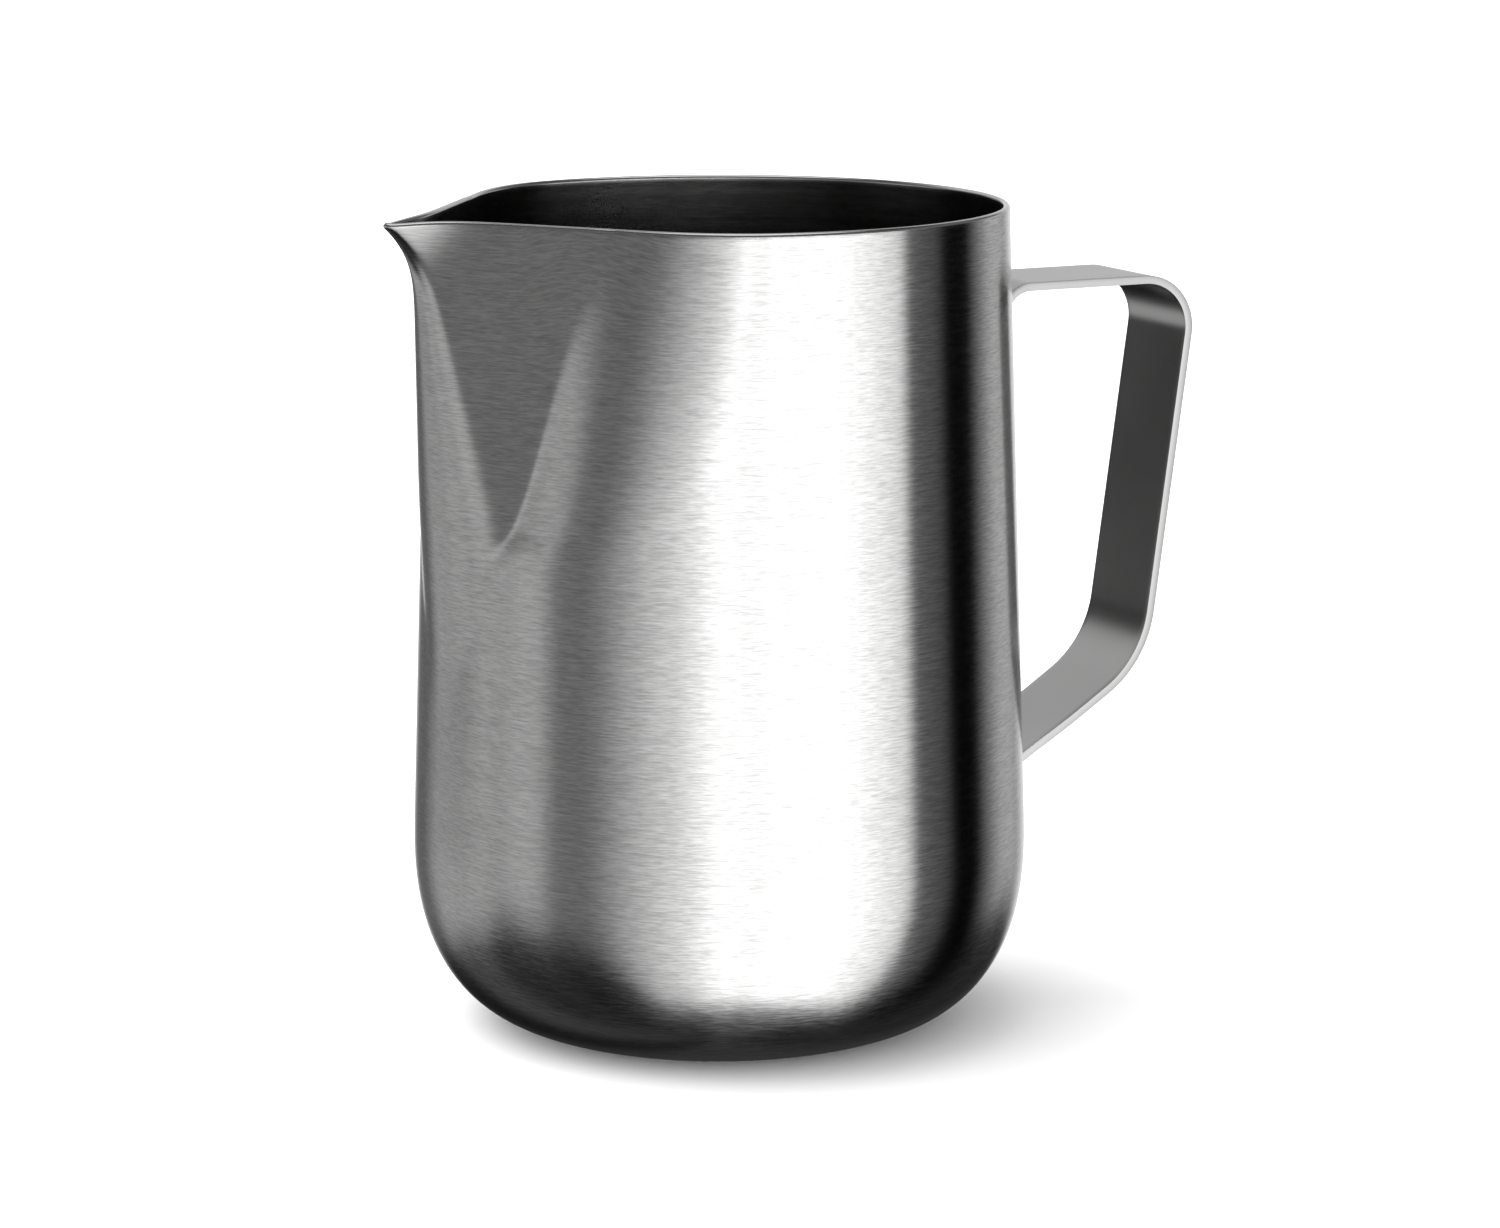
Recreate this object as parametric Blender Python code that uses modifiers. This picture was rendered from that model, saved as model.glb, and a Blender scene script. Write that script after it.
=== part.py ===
"""Milk frothing pitcher: a drawn steel jug with a pressed spout and a spot-welded strap handle.

Metres, +Z up. The origin is on the jug's axis, in the plane that the jug stands on.
The handle points along +X and the spout along -X.
"""

from math import atan2, cos, exp, hypot, pi, radians, sin, sqrt, tan

import bmesh
import bpy
from mathutils import Vector

# Jug: a straight wall that narrows upwards, over a full rounded corner and a flat foot.
JUG_HEIGHT = 0.1205
WALL_THICKNESS = 0.0010
BARREL_RADIUS = 0.04595  # the wall's radius, if its taper ran down to the table
WALL_TAPER = 0.033  # radius lost per metre of height
FOOT_RADIUS = 0.0228
CORNER_HEIGHT = 0.0304
CORNER_FULLNESS = 2.38  # exponent of the corner's superellipse; 2 is an ellipse

# Spout: a rounded ridge between two flat flanks. Each flank dips below the turned wall and runs
# back out to it round the side, and the lip curls out at the tip.
RIDGE_START = 0.0500
RIDGE_EASE = 0.15
RIDGE_REACH = 0.0056
NOSE_RADIUS = 0.0015  # the ridge's rounding at the rim
NOSE_GROWTH = 0.553  # radius that the rounding gains per metre below the rim
NOSE_LIMIT = 0.0250
NOSE_BLEND = 0.0040
FLANK_ANGLE = radians(37)
DIP_START = 0.0710
DIP_EASE = 0.9
DIP_ONSET = 0.15  # share of the dip's height over which it eases in
DIP_DEPTH = 0.0039
DIP_NEAR = (radians(18), radians(36))  # where the wall starts to run back out, low and at the rim
DIP_FAR = (radians(40), radians(75))  # where it is round again, low and at the rim
DIP_SPREAD = 2.5
VALLEY_BLEND = 0.00025
LIP_START = 0.1040
LIP_POWER = 3.2
TIP_REACH = 0.0047
TIP_DROP = 0.0009
TIP_SPREAD = radians(2.9)
TIP_ROUNDING = radians(2.4)

# Handle: one strip of flat steel, bent into a loop, with a tab at each end on the wall.
STRAP_WIDTH = 0.0167
STRAP_THICKNESS = 0.0012
STRAP_TOP = 0.1072
GRIP_TOP_X = 0.0764
GRIP_FOOT = (0.0682, 0.0483)
HEEL = (0.0464, 0.0342)
TOP_TAB_BEND = 0.0050
GRIP_TOP_BEND = 0.0081
GRIP_FOOT_BEND = 0.0171
HEEL_BEND = 0.0015
TAB_GAP = 0.0003
TOP_TAB_END = 0.0860
LOWER_TAB_END = 0.0170
LOWER_TAB_CURVE = 0.0270  # below this height the lower tab follows the rounded corner
TAB_CORNER = 0.0030
TAB_FIT = (0.0470, 0.0570)  # the strap goes from curved to flat between these distances
EDGE_ROUNDING = 0.0003

# Spot welds: thin round nuggets between each tab and the wall.
WELD_RADIUS = 0.0022
WELD_THICKNESS = 0.00016
WELD_HEIGHTS = {
    "weld_top_tab_upper": 0.0985,
    "weld_top_tab_lower": 0.0905,
    "weld_lower_tab_upper": 0.0288,
    "weld_lower_tab_lower": 0.0218,
}

# Fineness of the faceted solids.
TURN_STEPS = 96
SPOUT_CROWDING = 0.62  # moves the turned facets towards the spout; 0 spaces them evenly
CORNER_STEPS = 9
WALL_SPANS = (
    (JUG_HEIGHT, 0.1130, 5),
    (0.1130, LIP_START, 3),
    (LIP_START, DIP_START, 9),
    (DIP_START, RIDGE_START, 4),
    (RIDGE_START, CORNER_HEIGHT, 2),
)
BEND_STEP = radians(9)
STRAP_COLUMNS = 6
LOWER_TAB_STEP = 0.0022
EDGE_SEGMENTS = 2
WELD_SIDES = 20
SMOOTH_UP_TO = radians(35)  # sharper edges than this are shaded as edges
BEVEL_FROM = radians(60)  # the strap's long corners are sharper than this, its bends are not
STEEL = (0.60, 0.59, 0.57, 1.0)


def outer_radius(z):
    """The turned jug's outer radius at height z, before the spout is pressed."""
    left = max(0.0, 1.0 - z / CORNER_HEIGHT)
    bulge = (1.0 - left**CORNER_FULLNESS) ** (1.0 / CORNER_FULLNESS)
    return FOOT_RADIUS + (BARREL_RADIUS - FOOT_RADIUS) * bulge - WALL_TAPER * z


def soft_min(a, b, width):
    overlap = max(width - abs(a - b), 0.0)
    return min(a, b) - overlap * overlap / (4.0 * width)


def share_of_height(z, start):
    """0 up to a height, then rising in a straight line to 1 at the rim."""
    return max(0.0, (z - start) / (JUG_HEIGHT - start))


def ridge_radius(turn, z):
    """The ridge's rounded nose and the flat flank beside it, at an angle from the ridge."""
    k = share_of_height(z, RIDGE_START)
    growth = k * k * (1.0 + RIDGE_EASE) / (k + RIDGE_EASE)
    ridge = outer_radius(z) + RIDGE_REACH * growth
    nose = soft_min(NOSE_RADIUS + NOSE_GROWTH * (JUG_HEIGHT - z), NOSE_LIMIT, NOSE_BLEND)
    centre = ridge - nose
    nose_ends = atan2(nose * sin(FLANK_ANGLE), centre + nose * cos(FLANK_ANGLE))
    if turn < nose_ends:
        return centre * cos(turn) + sqrt(nose * nose - (centre * sin(turn)) ** 2)
    flank = centre * cos(FLANK_ANGLE) + nose
    if turn < FLANK_ANGLE:
        return flank / cos(turn - FLANK_ANGLE)
    return flank * max(0.0, cos(turn - FLANK_ANGLE))


def dipped_radius(turn, z):
    """The turned wall, drawn in beside the spout and running back out round the side."""
    m = share_of_height(z, DIP_START)
    if m <= 0.0:
        return outer_radius(z)
    onset = min(m / DIP_ONSET, 1.0)
    depth = DIP_DEPTH * m * (1.0 + DIP_EASE) / (m + DIP_EASE) * onset * onset * (3.0 - 2.0 * onset)
    near = DIP_NEAR[0] + (DIP_NEAR[1] - DIP_NEAR[0]) * m
    far = DIP_FAR[0] + (DIP_FAR[1] - DIP_FAR[0]) * (1.0 - (1.0 - m) ** DIP_SPREAD)
    t = min(max((turn - near) / (far - near), 0.0), 1.0)
    return outer_radius(z) - depth * (1.0 - t) ** 2 * (1.0 + 2.0 * m * t)


def pressed_radius(angle, z):
    """The outer radius at an angle from the spout's ridge, with the spout pressed."""
    if z <= RIDGE_START:
        return outer_radius(z)
    turn = abs(angle)
    radius = -soft_min(-ridge_radius(turn, z), -dipped_radius(turn, z), VALLEY_BLEND)
    return radius + TIP_REACH * lip_curl(z) * tip_share(angle)


def lip_curl(z):
    return share_of_height(z, LIP_START) ** LIP_POWER


def tip_share(angle):
    """1 on the ridge, falling to 0 within a few degrees of it."""
    away = sqrt(angle * angle + TIP_ROUNDING * TIP_ROUNDING) - TIP_ROUNDING
    return exp(-away / TIP_SPREAD)


def press_spout(point):
    """Move a point of the turned jug to its place on the jug with a spout."""
    turned = atan2(point.y, -point.x)
    angle = turned - SPOUT_CROWDING * sin(turned)
    away = hypot(point.x, point.y)
    scale = pressed_radius(angle, point.z) / outer_radius(point.z) if point.z > 0.0 else 1.0
    drop = TIP_DROP * lip_curl(point.z) * tip_share(angle)
    return Vector((-away * scale * cos(angle), away * scale * sin(angle), point.z - drop))


def jug_profile():
    """The outer outline from the rim down to the middle of the foot."""
    points = []
    for top, bottom, count in WALL_SPANS:
        for i in range(count):
            z = top + (bottom - top) * i / count
            points.append((outer_radius(z), z))
    for i in range(CORNER_STEPS):
        turn = 0.5 * pi * (1.0 - i / CORNER_STEPS)
        z = CORNER_HEIGHT * (1.0 - cos(turn) ** (2.0 / CORNER_FULLNESS))
        points.append((outer_radius(z), z))
    return points + [(FOOT_RADIUS, 0.0), (0.0, 0.0)]


def bend(start, corner, end, radius):
    """Points along the arc that rounds a corner of the strap's outline."""
    start, corner, end = Vector(start), Vector(corner), Vector(end)
    back = (start - corner).normalized()
    ahead = (end - corner).normalized()
    half = 0.5 * back.angle(ahead)
    middle = corner + (back + ahead).normalized() * radius / sin(half)
    first = corner + back * radius / tan(half) - middle
    sweep = pi - 2.0 * half
    side = 1.0 if first.cross(-back) > 0.0 else -1.0
    count = max(2, round(sweep / BEND_STEP))
    points = []
    for i in range(count + 1):
        turn = side * sweep * i / count
        x = first.x * cos(turn) - first.y * sin(turn)
        z = first.x * sin(turn) + first.y * cos(turn)
        points.append((middle.x + x, middle.y + z))
    return points


def straight(start, end, count):
    """Points strictly between two ends of a straight run."""
    return [
        tuple(Vector(start).lerp(Vector(end), i / (count + 1))) for i in range(1, count + 1)
    ]


def tab_rows():
    """Distances from a tab's end at which its rounded corners need a row of points."""
    return [TAB_CORNER * (1.0 - cos(radians(a))) for a in (0, 18, 36, 54, 72, 90)]


def strap_outline():
    """The strap's outer face on the handle's mid-plane, from the top tab to the lower one."""
    stand_off = TAB_GAP + STRAP_THICKNESS
    top_tab = [(outer_radius(z) + TAB_GAP, z) for z in (TOP_TAB_END + d for d in tab_rows())]
    top_corner = (outer_radius(STRAP_TOP) + TAB_GAP, STRAP_TOP)
    grip_top = (GRIP_TOP_X, STRAP_TOP)
    heel_foot = (HEEL[0], LOWER_TAB_CURVE)
    bends = [
        bend(top_tab[-1], top_corner, grip_top, TOP_TAB_BEND),
        bend(top_corner, grip_top, GRIP_FOOT, GRIP_TOP_BEND),
        bend(grip_top, GRIP_FOOT, HEEL, GRIP_FOOT_BEND),
        bend(GRIP_FOOT, HEEL, heel_foot, HEEL_BEND),
    ]
    lower_top = [LOWER_TAB_CURVE - i * LOWER_TAB_STEP for i in range(4)]
    lower_end = [LOWER_TAB_END + d for d in reversed(tab_rows())]
    lower_tab = [(outer_radius(z) + stand_off, z) for z in lower_top + lower_end]
    return (
        top_tab
        + bends[0]
        + straight(bends[0][-1], bends[1][0], 4)
        + bends[1]
        + straight(bends[1][-1], bends[2][0], 2)
        + bends[2]
        + straight(bends[2][-1], bends[3][0], 4)
        + bends[3]
        + lower_tab
    )


def wrapped(x, y):
    """Distance from the axis plane of a strip that hugs the wall near it and is flat away."""
    near, far = TAB_FIT
    share = min(max((far - x) / (far - near), 0.0), 1.0)
    share = share * share * (3.0 - 2.0 * share)
    return x - share * (x - sqrt(x * x - y * y))


def half_width(end_distance):
    """Half the strap's width, less near its ends where the corners are rounded."""
    inset = max(0.0, TAB_CORNER - end_distance)
    return 0.5 * STRAP_WIDTH - TAB_CORNER + sqrt(TAB_CORNER**2 - inset**2)


def new_object(name, mesh, collection):
    obj = bpy.data.objects.new(name, mesh)
    collection.objects.link(obj)
    return obj


def steel_material(name, roughness):
    material = bpy.data.materials.new(name)
    material.use_nodes = True
    shader = material.node_tree.nodes["Principled BSDF"]
    shader.inputs["Base Color"].default_value = STEEL
    shader.inputs["Metallic"].default_value = 1.0
    shader.inputs["Roughness"].default_value = roughness
    return material


def add_thickness(obj, thickness):
    solidify = obj.modifiers.new("sheet thickness", "SOLIDIFY")
    solidify.thickness = thickness
    solidify.offset = -1.0
    solidify.use_even_offset = True
    return solidify


def finish(obj, material):
    obj.data.materials.append(material)
    obj.data.shade_smooth()
    obj.data.set_sharp_from_angle(angle=SMOOTH_UP_TO)


def build_jug(collection):
    """Turn the cup from its profile, press the spout into it, then give it thickness."""
    outline = jug_profile()
    profile = bpy.data.meshes.new("jug profile")
    edges = [(i, i + 1) for i in range(len(outline) - 1)]
    profile.from_pydata([(x, 0.0, z) for x, z in outline], edges, [])
    turned = new_object("turned jug", profile, collection)
    screw = turned.modifiers.new("turn", "SCREW")
    screw.steps = TURN_STEPS
    screw.render_steps = TURN_STEPS
    screw.use_merge_vertices = True
    screw.merge_threshold = 0.00001
    evaluated = turned.evaluated_get(bpy.context.evaluated_depsgraph_get())
    mesh = bpy.data.meshes.new_from_object(evaluated)
    bpy.data.objects.remove(turned)
    for vertex in mesh.vertices:
        vertex.co = press_spout(vertex.co)
    mesh.name = "jug"
    jug = new_object("jug", mesh, collection)
    add_thickness(jug, WALL_THICKNESS)
    finish(jug, steel_material("brushed steel", 0.32))


def build_strap(collection):
    """Sweep the strip along its outline, then give it thickness on the inner side."""
    outline = strap_outline()
    travelled = [0.0]
    for (x0, z0), (x1, z1) in zip(outline, outline[1:]):
        travelled.append(travelled[-1] + hypot(x1 - x0, z1 - z0))
    points = []
    for (x, z), along in zip(outline, travelled):
        half = half_width(min(along, travelled[-1] - along))
        for i in range(STRAP_COLUMNS + 1):
            y = half * (2.0 * i / STRAP_COLUMNS - 1.0)
            points.append((wrapped(x, y), y, z))
    row = STRAP_COLUMNS + 1
    faces = []
    for j in range(len(outline) - 1):
        for i in range(STRAP_COLUMNS):
            a = j * row + i
            faces.append((a, a + row, a + row + 1, a + 1))
    mesh = bpy.data.meshes.new("handle_strap")
    mesh.from_pydata(points, [], faces)
    strap = new_object("handle_strap", mesh, collection)
    add_thickness(strap, STRAP_THICKNESS)
    rounding = strap.modifiers.new("rounded edges", "BEVEL")
    rounding.width = EDGE_ROUNDING
    rounding.segments = EDGE_SEGMENTS
    rounding.limit_method = "ANGLE"
    rounding.angle_limit = BEVEL_FROM
    finish(strap, steel_material("satin steel", 0.38))


def build_weld(name, height, collection, material):
    """A thin round nugget that lies along the wall, inside the tab's gap."""
    clearance = 0.5 * (TAB_GAP - WELD_THICKNESS)
    disc = bmesh.new()
    bmesh.ops.create_circle(
        disc, cap_ends=True, cap_tris=True, radius=WELD_RADIUS, segments=WELD_SIDES
    )
    for vertex in disc.verts:
        y = vertex.co.x
        z = height + vertex.co.y
        reach = outer_radius(z) + clearance + WELD_THICKNESS
        vertex.co = Vector((sqrt(reach * reach - y * y), y, z))
    mesh = bpy.data.meshes.new(name)
    disc.to_mesh(mesh)
    disc.free()
    weld = new_object(name, mesh, collection)
    add_thickness(weld, WELD_THICKNESS)
    finish(weld, material)


def main():
    for obj in list(bpy.data.objects):
        bpy.data.objects.remove(obj)
    collection = bpy.data.collections.new("milk_frothing_pitcher")
    bpy.context.scene.collection.children.link(collection)
    build_jug(collection)
    build_strap(collection)
    weld_steel = steel_material("weld steel", 0.55)
    for name, height in WELD_HEIGHTS.items():
        build_weld(name, height, collection, weld_steel)


main()
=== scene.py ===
"""Visual model of the milk frothing pitcher: fine meshes, brushed and satin steel, a pale studio.

Metres, +Z up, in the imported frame: the handle is at +X and the spout at -X.
"""

from math import atan2, cos, exp, hypot, pi, radians, sin, sqrt, tan

import bpy
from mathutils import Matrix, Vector


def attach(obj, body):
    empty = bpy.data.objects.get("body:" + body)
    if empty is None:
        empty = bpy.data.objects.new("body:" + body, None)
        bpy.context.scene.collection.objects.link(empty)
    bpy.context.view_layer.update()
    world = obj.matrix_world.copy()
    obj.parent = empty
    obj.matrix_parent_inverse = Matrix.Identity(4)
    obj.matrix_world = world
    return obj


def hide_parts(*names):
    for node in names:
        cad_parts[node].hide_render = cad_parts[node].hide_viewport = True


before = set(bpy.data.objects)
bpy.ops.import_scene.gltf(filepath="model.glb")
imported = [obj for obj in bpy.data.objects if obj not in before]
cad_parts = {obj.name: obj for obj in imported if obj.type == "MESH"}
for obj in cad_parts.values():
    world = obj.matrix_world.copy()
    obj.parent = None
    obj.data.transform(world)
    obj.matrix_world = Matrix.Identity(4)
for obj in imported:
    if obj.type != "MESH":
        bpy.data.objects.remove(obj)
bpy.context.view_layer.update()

# Jug, as in the CAD model.
JUG_HEIGHT = 0.1205
WALL_THICKNESS = 0.0010
BARREL_RADIUS = 0.04595
WALL_TAPER = 0.033
FOOT_RADIUS = 0.0228
CORNER_HEIGHT = 0.0304
CORNER_FULLNESS = 2.38

# Spout, as in the CAD model.
RIDGE_START = 0.0500
RIDGE_EASE = 0.15
RIDGE_REACH = 0.0056
NOSE_RADIUS = 0.0015
NOSE_GROWTH = 0.553
NOSE_LIMIT = 0.0250
NOSE_BLEND = 0.0040
FLANK_ANGLE = radians(37)
DIP_START = 0.0710
DIP_EASE = 0.9
DIP_ONSET = 0.15
DIP_DEPTH = 0.0039
DIP_NEAR = (radians(18), radians(36))
DIP_FAR = (radians(40), radians(75))
DIP_SPREAD = 2.5
VALLEY_BLEND = 0.00025
LIP_START = 0.1040
LIP_POWER = 3.2
TIP_REACH = 0.0047
TIP_DROP = 0.0009
TIP_SPREAD = radians(2.9)
TIP_ROUNDING = radians(2.4)

# Handle, as in the CAD model.
STRAP_WIDTH = 0.0167
STRAP_THICKNESS = 0.0012
STRAP_TOP = 0.1072
GRIP_TOP_X = 0.0764
GRIP_FOOT = (0.0682, 0.0483)
HEEL = (0.0464, 0.0342)
TOP_TAB_BEND = 0.0050
GRIP_TOP_BEND = 0.0081
GRIP_FOOT_BEND = 0.0171
HEEL_BEND = 0.0015
TAB_GAP = 0.0003
TOP_TAB_END = 0.0860
LOWER_TAB_END = 0.0170
LOWER_TAB_CURVE = 0.0270
TAB_CORNER = 0.0030
TAB_FIT = (0.0470, 0.0570)
EDGE_ROUNDING = 0.0003
ROUNDED_ABOVE = radians(60)
SHARP_ABOVE = radians(40)
WELD_HEIGHTS = (0.0985, 0.0905, 0.0288, 0.0218)

# Round prints left by the welding electrodes on the strap's tabs, and a faint tint from the heat.
# The edges are the distances from a weld's middle where each starts and where it is full, and
# the marks fade out between the two places of TAB_FRONT along X.
PRINT_EDGE = (0.0019, 0.0014)
HEAT_EDGE = (0.0037, 0.0015)
TAB_FRONT = (0.0475, 0.0465)
PRINT_SHADE = 0.82
PRINT_ROUGHNESS = 0.15
HEAT_TINT = (0.50, 0.42, 0.30, 1.0)
HEAT_STRENGTH = 0.35
# Heights in the bump of a welded strap, of the prints and of the grain.
PRINT_DEPTH = 4.0
GRAIN_HEIGHT = 0.2

# Fineness of the meshes.
TURN_STEPS = 384
SPOUT_CROWDING = 0.55
FOOT_STEPS = 5
CORNER_STEPS = 30
WALL_STEPS = (10, 14, 36, 30)
RIM_STEPS = 8
BEND_STEP = radians(3)
LEAST_BEND_STEPS = 4
STRAIGHT_STEPS = (6, 10, 12, 8)
TAB_END_STEPS = 10
LOWER_TAB_STEP = 0.0011
LOWER_TAB_STEPS = 6
STRAP_COLUMNS = 14
EDGE_STEPS = 3
# The CAD wall is made of flat facets, whose corners stop just short of the widest point.
FACET_INSET = 0.9984

# Steel colours, where handling marks are faint and where they are strong. The inside's colour is
# darkened as painted shade, and the rim's is lightened as a painted highlight.
OUTER_COLOUR = ((0.60, 0.60, 0.60, 1.0), (0.56, 0.555, 0.55, 1.0))
# The inside of the cup is the same steel as the outside, darkened here: painted shade for the cup's
# inside.
INNER_SHADED_COLOUR = ((0.26, 0.26, 0.26, 1.0), (0.24, 0.24, 0.235, 1.0))
# The rim is the same steel as the walls, lightened here: a painted highlight along the rim's edge.
RIM_HIGHLIGHT_COLOUR = ((0.78, 0.78, 0.78, 1.0), (0.70, 0.70, 0.69, 1.0))
STRAP_COLOUR = ((0.62, 0.62, 0.62, 1.0), (0.57, 0.565, 0.56, 1.0))
EDGE_COLOUR = ((0.44, 0.44, 0.44, 1.0), (0.40, 0.40, 0.395, 1.0))
WELD_COLOUR = ((0.45, 0.44, 0.42, 1.0), (0.38, 0.36, 0.34, 1.0))

# Brush marks: how often their noise changes round the jug, and across them per metre. On the
# floor of the cup they are rings as well, out to FLOOR_RINGS from the axis.
FINE_MARKS = (13.0, 4600.0)
HAIR_MARKS = (28.0, 8500.0)
BROAD_MARKS = (1.5, 900.0)
HAIR_SHARE = 0.4
FLOOR_RINGS = 0.040
# The middle of a noise's range that is stretched to the whole of it.
NOISE_MIDDLE = (0.30, 0.70)
# Handling marks, per metre: on the jug, and on the strap, the rim and the welds.
JUG_CLOUDS = 38.0
SATIN_CLOUDS = 55.0
# How far the grain and the handling marks change the roughness and the satin's shade.
BRUSHED_ROUGHNESS_CHANGE = 0.02
GRAIN_ROUGHNESS_CHANGE = 0.01
CLOUD_ROUGHNESS_CHANGE = 0.03
GRAIN_SHADE = (0.98, 1.02)
CLOUD_SHADE = (0.95, 1.05)
BUMP_DISTANCE = 0.00002
BRUSHED_BUMP = 0.06
SATIN_BUMP = 0.08
# The part of a full turn that lays the long way of the gloss across the brush marks.
ACROSS_MARKS = 0.25

# View: the handle's plane is turned away from the picture plane by this angle.
TURNED_AWAY = radians(26)
CAMERA_LENS = 112.56
CAMERA_SENSOR = 36.0
CAMERA_CLIP = (0.05, 60.0)
CAMERA_AWAY = 0.675
CAMERA_HEIGHT = 0.1901
CAMERA_TILT = 0.1903
CAMERA_SWING = 0.0067


def outer_radius(z):
    left = max(0.0, 1.0 - z / CORNER_HEIGHT)
    bulge = (1.0 - left**CORNER_FULLNESS) ** (1.0 / CORNER_FULLNESS)
    return FOOT_RADIUS + (BARREL_RADIUS - FOOT_RADIUS) * bulge - WALL_TAPER * z


def soft_min(a, b, width):
    overlap = max(width - abs(a - b), 0.0)
    return min(a, b) - overlap * overlap / (4.0 * width)


def eased(share):
    """A smooth step from 0 to 1."""
    return share * share * (3.0 - 2.0 * share)


def share_of_height(z, start):
    return max(0.0, (z - start) / (JUG_HEIGHT - start))


def ridge_radius(turn, z):
    """The rounded ridge under the tip and the flat flanks on either side of it."""
    k = share_of_height(z, RIDGE_START)
    growth = k * k * (1.0 + RIDGE_EASE) / (k + RIDGE_EASE)
    ridge = outer_radius(z) + RIDGE_REACH * growth
    nose = soft_min(NOSE_RADIUS + NOSE_GROWTH * (JUG_HEIGHT - z), NOSE_LIMIT, NOSE_BLEND)
    centre = ridge - nose
    nose_ends = atan2(nose * sin(FLANK_ANGLE), centre + nose * cos(FLANK_ANGLE))
    if turn < nose_ends:
        return centre * cos(turn) + sqrt(nose * nose - (centre * sin(turn)) ** 2)
    flank = centre * cos(FLANK_ANGLE) + nose
    if turn < FLANK_ANGLE:
        return flank / cos(turn - FLANK_ANGLE)
    return flank * max(0.0, cos(turn - FLANK_ANGLE))


def dipped_radius(turn, z):
    """The round wall with the shallow dip that each side of the spout sinks into."""
    m = share_of_height(z, DIP_START)
    if m <= 0.0:
        return outer_radius(z)
    depth = DIP_DEPTH * m * (1.0 + DIP_EASE) / (m + DIP_EASE) * eased(min(m / DIP_ONSET, 1.0))
    near = DIP_NEAR[0] + (DIP_NEAR[1] - DIP_NEAR[0]) * m
    far = DIP_FAR[0] + (DIP_FAR[1] - DIP_FAR[0]) * (1.0 - (1.0 - m) ** DIP_SPREAD)
    t = min(max((turn - near) / (far - near), 0.0), 1.0)
    return outer_radius(z) - depth * (1.0 - t) ** 2 * (1.0 + 2.0 * m * t)


def lip_curl(z):
    return share_of_height(z, LIP_START) ** LIP_POWER


def tip_share(angle):
    away = sqrt(angle * angle + TIP_ROUNDING * TIP_ROUNDING) - TIP_ROUNDING
    return exp(-away / TIP_SPREAD)


def pressed_radius(angle, z):
    if z <= RIDGE_START:
        return outer_radius(z)
    turn = abs(angle)
    radius = -soft_min(-ridge_radius(turn, z), -dipped_radius(turn, z), VALLEY_BLEND)
    return radius + TIP_REACH * lip_curl(z) * tip_share(angle)


def pressed_point(angle, radius, z):
    """A point of the turned jug, moved to its place on the jug with a spout."""
    scale = pressed_radius(angle, z) / outer_radius(z) if z > 0.0 else 1.0
    drop = TIP_DROP * lip_curl(z) * tip_share(angle)
    reach = radius * scale
    return Vector((-reach * cos(angle), FACET_INSET * reach * sin(angle), z - drop))


def jug_profile():
    """The outer outline from the foot up to where the rim's rounding starts."""
    points = [(FOOT_RADIUS * i / FOOT_STEPS, 0.0) for i in range(1, FOOT_STEPS + 1)]
    for i in range(1, CORNER_STEPS + 1):
        turn = 0.5 * pi * i / CORNER_STEPS
        z = CORNER_HEIGHT * (1.0 - cos(turn) ** (2.0 / CORNER_FULLNESS))
        points.append((outer_radius(z), z))
    rim_foot = JUG_HEIGHT - 0.5 * WALL_THICKNESS
    heights = (CORNER_HEIGHT, RIDGE_START, DIP_START, LIP_START, rim_foot)
    for low, high, count in zip(heights, heights[1:], WALL_STEPS):
        for i in range(1, count + 1):
            z = low + (high - low) * i / count
            points.append((outer_radius(z), z))
    return points


def jug_rings():
    """Rings of points from the foot, up the outside, over the rim and down the inside."""
    angles = []
    for j in range(TURN_STEPS):
        turned = 2.0 * pi * j / TURN_STEPS - pi
        angles.append(turned - SPOUT_CROWDING * sin(turned))
    outside = [[pressed_point(a, r, z) for a in angles] for r, z in jug_profile()]
    inside = []
    last = len(outside) - 1
    for i, ring in enumerate(outside):
        below, above = outside[max(i - 1, 0)], outside[min(i + 1, last)]
        ups = [(high - low).normalized() for high, low in zip(above, below)]
        normals = []
        for j, up in enumerate(ups):
            around = ring[j - 1] - ring[(j + 1) % TURN_STEPS]
            normals.append(around.cross(up).normalized())
        inside.append([p - n * WALL_THICKNESS for p, n in zip(ring, normals)])
    rim = []
    half = 0.5 * WALL_THICKNESS
    for k in range(1, RIM_STEPS):
        turn = pi * k / RIM_STEPS
        rim.append(
            [
                p + n * half * (cos(turn) - 1.0) + u * half * sin(turn)
                for p, n, u in zip(outside[-1], normals, ups)
            ]
        )
    return outside, rim, inside[::-1]


def new_mesh_object(name, points, faces):
    mesh = bpy.data.meshes.new(name)
    mesh.from_pydata(points, [], faces)
    mesh.validate()
    mesh.shade_smooth()
    obj = bpy.data.objects.new(name, mesh)
    bpy.context.scene.collection.objects.link(obj)
    return obj


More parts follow.
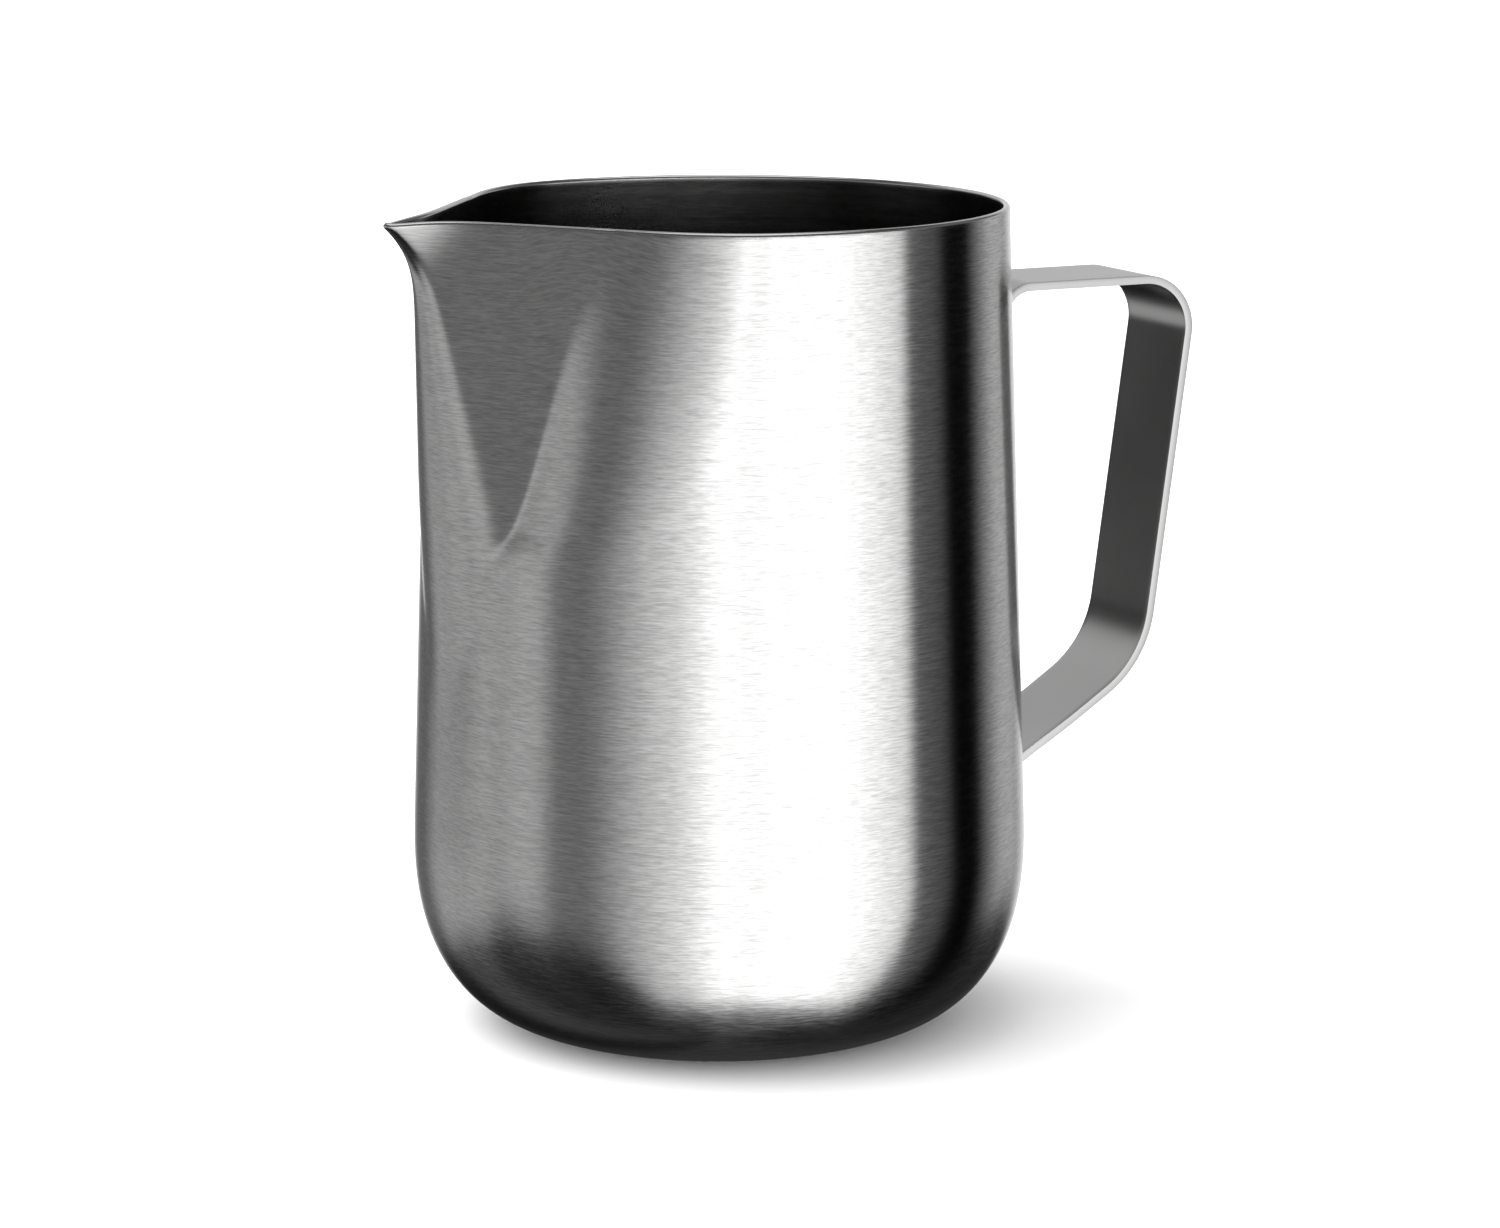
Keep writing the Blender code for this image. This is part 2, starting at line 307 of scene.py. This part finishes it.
def build_jug(outer_steel, rim_steel_with_highlight, shaded_inner_steel):
    """Rings of faces from the foot's middle, over the rim, to the middle of the cup's floor."""
    outside, rim, inside = jug_rings()
    rings = outside + rim + inside
    foot, floor = 0, len(rings) * TURN_STEPS + 1
    points = [Vector((0.0, 0.0, 0.0))]
    for ring in rings:
        points.extend(ring)
    points.append(Vector((0.0, 0.0, WALL_THICKNESS)))
    faces = []
    slots = []
    for j in range(TURN_STEPS):
        k = (j + 1) % TURN_STEPS
        faces.append((foot, 1 + j, 1 + k))
        slots.append(0)
    for i in range(len(rings) - 1):
        if i < len(outside) - 1:
            slot = 0
        elif i < len(outside) + len(rim):
            slot = 1
        else:
            slot = 2
        for j in range(TURN_STEPS):
            k = (j + 1) % TURN_STEPS
            low, high = 1 + i * TURN_STEPS, 1 + (i + 1) * TURN_STEPS
            faces.append((low + j, high + j, high + k, low + k))
            slots.append(slot)
    top = 1 + (len(rings) - 1) * TURN_STEPS
    for j in range(TURN_STEPS):
        k = (j + 1) % TURN_STEPS
        faces.append((top + j, floor, top + k))
        slots.append(2)
    jug = new_mesh_object("jug_body", points, faces)
    for material in (outer_steel, rim_steel_with_highlight, shaded_inner_steel):
        jug.data.materials.append(material)
    jug.data.polygons.foreach_set("material_index", slots)
    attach(jug, "root")
    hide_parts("jug")


def bend(start, corner, end, radius):
    """Points along the arc that rounds a corner of the strap's outline."""
    start, corner, end = Vector(start), Vector(corner), Vector(end)
    back = (start - corner).normalized()
    ahead = (end - corner).normalized()
    half = 0.5 * back.angle(ahead)
    middle = corner + (back + ahead).normalized() * radius / sin(half)
    first = corner + back * radius / tan(half) - middle
    sweep = pi - 2.0 * half
    side = 1.0 if first.cross(-back) > 0.0 else -1.0
    count = max(LEAST_BEND_STEPS, round(sweep / BEND_STEP))
    points = []
    for i in range(count + 1):
        turn = side * sweep * i / count
        x = first.x * cos(turn) - first.y * sin(turn)
        z = first.x * sin(turn) + first.y * cos(turn)
        points.append((middle.x + x, middle.y + z))
    return points


def straight(start, end, count):
    """Points between the two ends, which are not among them."""
    start, end = Vector(start), Vector(end)
    return [tuple(start.lerp(end, i / (count + 1))) for i in range(1, count + 1)]


def tab_end_rows():
    """Distances from a tab's end that are close together where its corners are round."""
    turns = [0.5 * pi * i / TAB_END_STEPS for i in range(TAB_END_STEPS + 1)]
    return [TAB_CORNER * (1.0 - cos(turn)) for turn in turns]


def strap_outline():
    """The line of the strap's sheet in the plane y = 0, from the top tab's end to the lower's."""
    stand_off = TAB_GAP + STRAP_THICKNESS
    top_heights = [TOP_TAB_END + row for row in tab_end_rows()]
    top_tab = [(outer_radius(z) + TAB_GAP, z) for z in top_heights]
    top_corner = (outer_radius(STRAP_TOP) + TAB_GAP, STRAP_TOP)
    grip_top = (GRIP_TOP_X, STRAP_TOP)
    heel_foot = (HEEL[0], LOWER_TAB_CURVE)
    bends = [
        bend(top_tab[-1], top_corner, grip_top, TOP_TAB_BEND),
        bend(top_corner, grip_top, GRIP_FOOT, GRIP_TOP_BEND),
        bend(grip_top, GRIP_FOOT, HEEL, GRIP_FOOT_BEND),
        bend(GRIP_FOOT, HEEL, heel_foot, HEEL_BEND),
    ]
    lower_heights = [LOWER_TAB_CURVE - i * LOWER_TAB_STEP for i in range(LOWER_TAB_STEPS + 1)]
    lower_heights += [LOWER_TAB_END + row for row in reversed(tab_end_rows())]
    lower_tab = [(outer_radius(z) + stand_off, z) for z in lower_heights]
    outline = top_tab
    for arc, count in zip(bends, STRAIGHT_STEPS):
        outline = outline + straight(outline[-1], arc[0], count) + arc
    return outline + lower_tab


def wrapped(x, y):
    """Bends the strap's ends round the wall, and leaves the grip flat."""
    near, far = TAB_FIT
    share = eased(min(max((far - x) / (far - near), 0.0), 1.0))
    return x - share * (x - sqrt(x * x - y * y))


def half_width(end_distance):
    """Half of the strap's width, less where a tab's corners are round."""
    inset = max(0.0, TAB_CORNER - end_distance)
    return 0.5 * STRAP_WIDTH - TAB_CORNER + sqrt(TAB_CORNER**2 - inset**2)


def build_strap(steel, edge_steel):
    outline = strap_outline()
    travelled = [0.0]
    for (x0, z0), (x1, z1) in zip(outline, outline[1:]):
        travelled.append(travelled[-1] + hypot(x1 - x0, z1 - z0))
    points = []
    for (x, z), along in zip(outline, travelled):
        half = half_width(min(along, travelled[-1] - along))
        for i in range(STRAP_COLUMNS + 1):
            y = half * (2.0 * i / STRAP_COLUMNS - 1.0)
            points.append((wrapped(x, y), y, z))
    row = STRAP_COLUMNS + 1
    faces = []
    for j in range(len(outline) - 1):
        for i in range(STRAP_COLUMNS):
            a = j * row + i
            faces.append((a, a + row, a + row + 1, a + 1))
    strap = new_mesh_object("handle_strip", points, faces)
    sheet = strap.modifiers.new("sheet thickness", "SOLIDIFY")
    sheet.thickness = STRAP_THICKNESS
    sheet.offset = -1.0
    sheet.use_even_offset = True
    sheet.material_offset_rim = 1
    rounding = strap.modifiers.new("rounded edges", "BEVEL")
    rounding.width = EDGE_ROUNDING
    rounding.segments = EDGE_STEPS
    rounding.limit_method = "ANGLE"
    rounding.angle_limit = ROUNDED_ABOVE
    strap.data.set_sharp_from_angle(angle=SHARP_ABOVE)
    strap.data.materials.append(steel)
    strap.data.materials.append(edge_steel)
    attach(strap, "root")
    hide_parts("handle_strap")


class Nodes:
    """Short calls that add nodes to a tree and join them."""

    def __init__(self, tree):
        self.tree = tree
        tree.nodes.clear()

    def add(self, kind, inputs=None, **settings):
        node = self.tree.nodes.new("ShaderNode" + kind)
        for key, value in settings.items():
            setattr(node, key, value)
        for key, value in (inputs or {}).items():
            socket = node.inputs[key]
            if isinstance(value, bpy.types.NodeSocket):
                self.tree.links.new(value, socket)
            else:
                socket.default_value = value
        return node

    def math(self, operation, a, b=0.0, c=0.0):
        return self.add("Math", {0: a, 1: b, 2: c}, operation=operation).outputs[0]

    def product(self, first, *others):
        for other in others:
            first = self.math("MULTIPLY", first, other)
        return first

    def ramp(self, factor, stops):
        """Greys given as (position, value), with straight lines between them."""
        node = self.add("ValToRGB", {"Fac": factor})
        elements = node.color_ramp.elements
        while len(elements) > 1:
            elements.remove(elements[-1])
        for i, (position, value) in enumerate(stops):
            element = elements[0] if i == 0 else elements.new(position)
            element.position = position
            element.color = (value, value, value, 1.0)
        return node.outputs["Color"]

    def noise(self, vector, scale, detail, roughness):
        inputs = {"Vector": vector, "Scale": scale, "Detail": detail, "Roughness": roughness}
        return self.add("TexNoise", inputs).outputs["Fac"]

    def combine(self, x, y, z):
        return self.add("CombineXYZ", {"X": x, "Y": y, "Z": z}).outputs["Vector"]

    def mix_colour(self, share, a, b):
        inputs = {"Factor": share, "A": a, "B": b}
        return self.add("Mix", inputs, data_type="RGBA").outputs["Result"]

    def mix(self, share, a, b):
        return self.add("Mix", {"Factor": share, "A": a, "B": b}).outputs["Result"]

    def smooth(self, value, start, end):
        """0 before start, 1 after end and a smooth step between them."""
        inputs = {"Value": value, "From Min": start, "From Max": end}
        return self.add("MapRange", inputs, interpolation_type="SMOOTHSTEP").outputs["Result"]

    def spread(self, value, low, high):
        """A 0 to 1 value moved to low to high."""
        return self.math("MULTIPLY_ADD", value, high - low, low)


def new_material(name):
    material = bpy.data.materials.new(name)
    material.use_nodes = True
    return material, Nodes(material.node_tree)


def brushed_steel(name, colour, roughness, streak, smudge, turning, anisotropy):
    """Steel brushed in rings round the jug's axis."""
    material, n = new_material(name)
    place = n.add("TexCoord").outputs["Object"]
    x, y, z = n.add("SeparateXYZ", {0: place}).outputs
    squares = n.math("ADD", n.product(x, x), n.product(y, y))
    away = n.math("MAXIMUM", n.math("SQRT", squares), 1e-5)
    east, north = n.math("DIVIDE", x, away), n.math("DIVIDE", y, away)
    ring = n.math("ADD", z, n.math("MINIMUM", away, FLOOR_RINGS))

    def marks(fineness, detail, hardness):
        around, across = fineness
        rings = n.combine(n.product(east, around), n.product(north, around), n.product(ring, across))
        return n.noise(rings, 1.0, detail, hardness)

    fine = n.product(marks(FINE_MARKS, 2.0, 0.6), 1.0 - HAIR_SHARE)
    hair = n.product(marks(HAIR_MARKS, 1.0, 0.5), HAIR_SHARE)
    grain = n.smooth(n.math("ADD", fine, hair), *NOISE_MIDDLE)
    broad = n.smooth(marks(BROAD_MARKS, 3.0, 0.6), *NOISE_MIDDLE)
    clouds = n.noise(place, JUG_CLOUDS, 3.0, 0.55)
    shade = n.product(
        n.spread(grain, 1.0 - streak, 1.0 + streak),
        n.spread(broad, 1.0 - turning, 1.0 + turning),
        n.spread(clouds, 1.0 - smudge, 1.0 + smudge),
    )
    base = n.add("VectorMath", {0: n.mix_colour(clouds, *colour), "Scale": shade}, operation="SCALE")
    change = BRUSHED_ROUGHNESS_CHANGE
    rough = n.spread(grain, roughness - change, roughness + change)
    rough = n.math("ADD", rough, n.spread(clouds, -change, change))
    bump = n.add("Bump", {"Height": grain, "Strength": BRUSHED_BUMP, "Distance": BUMP_DISTANCE})
    tangent = n.add("Tangent", direction_type="RADIAL", axis="Z")
    shader = n.add(
        "BsdfPrincipled",
        {
            "Base Color": base.outputs["Vector"],
            "Metallic": 1.0,
            "Roughness": rough,
            "Anisotropic": anisotropy,
            "Anisotropic Rotation": ACROSS_MARKS,
            "Tangent": tangent.outputs["Tangent"],
            "Normal": bump.outputs["Normal"],
        },
    )
    n.add("OutputMaterial", {"Surface": shader.outputs["BSDF"]})
    return material


def weld_marks(n, place):
    """The round electrode prints on the strap's tabs, and the tint round them, from 0 to 1."""
    x, y, z = n.add("SeparateXYZ", {0: place}).outputs
    nearest = 1.0
    for height in WELD_HEIGHTS:
        up = n.math("POWER", n.math("SUBTRACT", z, height), 2.0)
        distance = n.math("SQRT", n.math("ADD", n.math("POWER", y, 2.0), up))
        nearest = n.math("MINIMUM", distance, nearest)
    on_tab = n.smooth(x, *TAB_FRONT)
    dent = n.smooth(nearest, *PRINT_EDGE)
    halo = n.smooth(nearest, *HEAT_EDGE)
    return n.product(dent, on_tab), n.product(halo, on_tab)


def satin_steel(name, colour, roughness, grain_scale, welded=False):
    """Smooth steel with a fine even grain and faint handling marks, and weld prints if asked."""
    material, n = new_material(name)
    place = n.add("TexCoord").outputs["Object"]
    grain = n.noise(place, grain_scale, 2.0, 0.5)
    clouds = n.noise(place, SATIN_CLOUDS, 3.0, 0.55)
    shade = n.product(n.spread(grain, *GRAIN_SHADE), n.spread(clouds, *CLOUD_SHADE))
    tint = n.mix_colour(clouds, *colour)
    change = CLOUD_ROUGHNESS_CHANGE
    rough = n.spread(clouds, roughness - change, roughness + change)
    rough = n.math("ADD", rough, n.spread(grain, -GRAIN_ROUGHNESS_CHANGE, GRAIN_ROUGHNESS_CHANGE))
    height = grain
    if welded:
        dent, halo = weld_marks(n, place)
        shade = n.product(shade, n.spread(dent, 1.0, PRINT_SHADE))
        tint = n.mix_colour(n.product(halo, HEAT_STRENGTH), tint, HEAT_TINT)
        rough = n.math("ADD", rough, n.product(dent, PRINT_ROUGHNESS))
        height = n.math("SUBTRACT", n.product(grain, GRAIN_HEIGHT), n.product(dent, PRINT_DEPTH))
    base = n.add("VectorMath", {0: tint, "Scale": shade}, operation="SCALE")
    bump = n.add("Bump", {"Height": height, "Strength": SATIN_BUMP, "Distance": BUMP_DISTANCE})
    shader = n.add(
        "BsdfPrincipled",
        {
            "Base Color": base.outputs["Vector"],
            "Metallic": 1.0,
            "Roughness": rough,
            "Normal": bump.outputs["Normal"],
        },
    )
    n.add("OutputMaterial", {"Surface": shader.outputs["BSDF"]})
    return material


# Studio: what the steel reflects, by direction in the world. Azimuth 0 is the main view's left, 90
# is towards its camera, 180 is its right and 270 is behind the jug. Heights and depths are sines
# of the angle above or below the horizon.
LEVEL_LIGHT = (
    (0, 0.50),
    (10, 0.60),
    (18, 0.58),
    (27, 0.25),
    (38, 0.22),
    (46, 0.33),
    (62, 0.78),
    (76, 1.20),
    (84, 1.65),
    (92, 2.15),
    (98, 1.95),
    (104, 1.95),
    (110, 2.20),
    (136, 2.20),
    (142, 1.95),
    (152, 1.60),
    (164, 1.20),
    (169, 0.17),
    (183, 0.10),
    (189, 0.00),
    (203, 0.00),
    (207, 0.10),
    (222, 0.54),
    (232, 0.54),
    (240, 0.40),
    (256, 0.90),
    (278, 0.90),
    (288, 0.16),
    (303, 0.15),
    (318, 0.48),
    (340, 0.52),
    (360, 0.50),
)
# The same higher up, and the heights between which it takes over.
RAISED_LIGHT = (
    (0, 0.12),
    (238, 0.12),
    (248, 0.56),
    (332, 0.56),
    (342, 0.12),
    (360, 0.12),
)
RAISED_FROM = (0.10, 0.20)
# How far the black card that the grip reflects darkens each azimuth, and its foot and top.
BLACK_CARD = (
    (0, 0.0),
    (303, 0.0),
    (311, 0.96),
    (340, 0.96),
    (350, 0.0),
    (360, 0.0),
)
CARD_FOOT = (-0.16, -0.10)
CARD_TOP = (0.27, 0.20)
# The depth at which the dark table top starts, and how soft its edge is.
TABLE_EDGE = (
    (0, 0.30),
    (24, 0.36),
    (42, 0.46),
    (58, 0.80),
    (162, 0.80),
    (176, 0.76),
    (190, 0.54),
    (206, 0.34),
    (230, 0.26),
    (280, 0.28),
    (310, 0.38),
    (345, 0.38),
    (360, 0.30),
)
TABLE_BLUR = 0.10
# How light the table top is, as a share of the light above it.
TABLE_SHARE = (
    (0, 0.05),
    (304, 0.05),
    (314, 0.16),
    (336, 0.16),
    (346, 0.05),
    (360, 0.05),
)
# The light fades out towards the ceiling, where a soft lamp hangs.
WALLS_END = (0.85, 0.55)
SOFTBOX_EDGE = (0.84, 0.92)
SOFTBOX_LIGHT = 1.05
# The ramps hold shares of this strength.
BRIGHTEST = 3.0
# What the world gives the floor, and how far that leans to the left.
FLOOR_LIGHT = 1.8
FROM_LEFT = 0.6
FLOOR_SIDE = 12.0
FLOOR_COLOUR = (0.86, 0.86, 0.86, 1.0)
SUN_STRENGTH = 1.0
SUN_SPREAD = radians(60)
SUN_WAY = (0.30, -0.16, -0.94)


def light_world():
    """The steel sees the studio, the floor a light that leans left, and the camera plain white."""
    world = bpy.data.worlds.new("studio")
    bpy.context.scene.world = world
    world.use_nodes = True
    n = Nodes(world.node_tree)
    x, y, z = n.add("SeparateXYZ", {0: n.add("TexCoord").outputs["Generated"]}).outputs
    azimuth = n.math("ARCTAN2", n.product(y, -1.0), n.product(x, -1.0))
    turn = n.math("FRACT", n.math("DIVIDE", n.math("ADD", azimuth, TURNED_AWAY), 2.0 * pi))

    def round_about(stops, scale=1.0):
        return n.ramp(turn, [(angle / 360.0, value / scale) for angle, value in stops])

    level = round_about(LEVEL_LIGHT, BRIGHTEST)
    raised = round_about(RAISED_LIGHT, BRIGHTEST)
    card = n.product(n.smooth(z, *CARD_FOOT), n.smooth(z, *CARD_TOP), round_about(BLACK_CARD))
    walls = n.mix(card, n.mix(n.smooth(z, *RAISED_FROM), level, raised), 0.0)
    softbox = n.product(n.smooth(z, *SOFTBOX_EDGE), SOFTBOX_LIGHT / BRIGHTEST)
    above = n.math("ADD", n.product(walls, n.smooth(z, *WALLS_END)), softbox)
    depth = n.math("SUBTRACT", n.product(z, -1.0), round_about(TABLE_EDGE))
    below = n.mix(n.smooth(depth, 0.0, TABLE_BLUR), 1.0, round_about(TABLE_SHARE))
    in_steel = n.product(above, below, BRIGHTEST)
    leftward = n.math("COSINE", n.product(turn, 2.0 * pi))
    on_floor = n.math("MULTIPLY_ADD", leftward, FLOOR_LIGHT * FROM_LEFT, FLOOR_LIGHT)
    path = n.add("LightPath").outputs
    strength = n.mix(path["Is Diffuse Ray"], in_steel, on_floor)
    strength = n.mix(path["Is Camera Ray"], strength, 1.0)
    lit = n.add("Background", {"Color": (1.0, 1.0, 1.0, 1.0), "Strength": strength})
    n.add("OutputWorld", {"Surface": lit.outputs["Background"]})


def add_floor():
    side = FLOOR_SIDE
    corners = [(-side, -side, 0.0), (side, -side, 0.0), (side, side, 0.0), (-side, side, 0.0)]
    floor = new_mesh_object("floor", corners, [(0, 1, 2, 3)])
    material, n = new_material("pale floor")
    shader = n.add("BsdfDiffuse", {"Color": FLOOR_COLOUR})
    n.add("OutputMaterial", {"Surface": shader.outputs["BSDF"]})
    floor.data.materials.append(material)
    floor.visible_glossy = False


def add_sun():
    """Soft light from the left and behind, which only the floor shows."""
    lamp = bpy.data.lights.new("sun", "SUN")
    lamp.energy = SUN_STRENGTH
    lamp.angle = SUN_SPREAD
    sun = bpy.data.objects.new("sun", lamp)
    sun.rotation_euler = Vector(SUN_WAY).to_track_quat("-Z", "Y").to_euler()
    sun.visible_glossy = False
    bpy.context.scene.collection.objects.link(sun)


def add_camera():
    lens = bpy.data.cameras.new("camera")
    lens.lens = CAMERA_LENS
    lens.sensor_width = CAMERA_SENSOR
    lens.clip_start, lens.clip_end = CAMERA_CLIP
    camera = bpy.data.objects.new("camera", lens)
    place = (-CAMERA_AWAY * sin(TURNED_AWAY), -CAMERA_AWAY * cos(TURNED_AWAY), CAMERA_HEIGHT)
    camera.location = place
    camera.rotation_euler = (0.5 * pi - CAMERA_TILT, 0.0, -TURNED_AWAY - CAMERA_SWING)
    bpy.context.scene.collection.objects.link(camera)
    bpy.context.scene.camera = camera


outer_steel = brushed_steel(
    "brushed steel",
    OUTER_COLOUR,
    roughness=0.20,
    streak=0.25,
    smudge=0.03,
    turning=0.03,
    anisotropy=0.85,
)
# The inside's dark colour is painted shade, not a different steel.
shaded_inner_steel = brushed_steel(
    "inner steel with painted shade",
    INNER_SHADED_COLOUR,
    roughness=0.22,
    streak=0.10,
    smudge=0.04,
    turning=0.16,
    anisotropy=0.60,
)
# The rim's lighter colour is a painted highlight.
rim_steel_with_highlight = satin_steel("rim steel with painted highlight", RIM_HIGHLIGHT_COLOUR, roughness=0.22, grain_scale=2600.0)
strap_steel = satin_steel(
    "satin steel", STRAP_COLOUR, roughness=0.29, grain_scale=1800.0, welded=True
)
edge_steel = satin_steel("edge steel", EDGE_COLOUR, roughness=0.30, grain_scale=1800.0)
weld_steel = satin_steel("weld steel", WELD_COLOUR, roughness=0.50, grain_scale=1500.0)

build_jug(outer_steel, rim_steel_with_highlight, shaded_inner_steel)
build_strap(strap_steel, edge_steel)
for name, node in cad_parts.items():
    if name.startswith("weld_"):
        node.data.materials.clear()
        node.data.materials.append(weld_steel)

light_world()
add_floor()
add_sun()
add_camera()
bpy.context.scene.view_settings.view_transform = "Standard"
